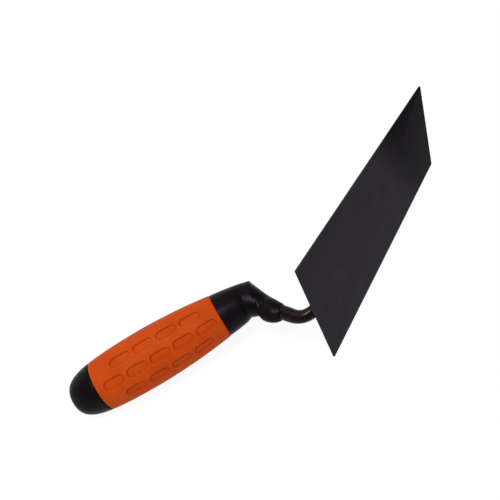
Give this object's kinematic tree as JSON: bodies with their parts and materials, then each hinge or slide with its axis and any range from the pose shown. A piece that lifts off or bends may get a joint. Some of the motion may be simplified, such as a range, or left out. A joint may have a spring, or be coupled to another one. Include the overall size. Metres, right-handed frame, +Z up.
{
  "type": "bucket trowel",
  "caption": "Bricklaying trowel with a flat trapezoid steel blade, a cranked round shank and a two-material grip with a domed butt.",
  "frame": {"origin": "centre of the bounding box's base, on the surface the trowel lies on", "axes": "+X along the blade's lower long edge towards the front edge, +Z up from the surface; the trowel lies on that edge and on the belly of its grip, with the working face towards -Y"},
  "size_m": [0.297, 0.1442, 0.094],
  "materials": {
    "blade_steel": "dark lacquered sheet steel, satin, fine rolled grain",
    "shank_steel": "brown-black lacquered round bar, semi-gloss",
    "weld_steel": "lacquered weld bead, rippled",
    "core_plastic": "black moulded plastic, satin",
    "grip_rubber": "orange overmoulded rubber, satin, recessed pads",
    "cap_plastic": "black moulded plastic, fine matte texture"
  },
  "bodies": {
    "root": {"blade": "blade_steel", "shank": "shank_steel", "weld_left": "weld_steel", "weld_right": "weld_steel", "handle_core": "core_plastic", "grip_sleeve": "grip_rubber", "butt_cap": "cap_plastic"}
  },
  "joints": []
}
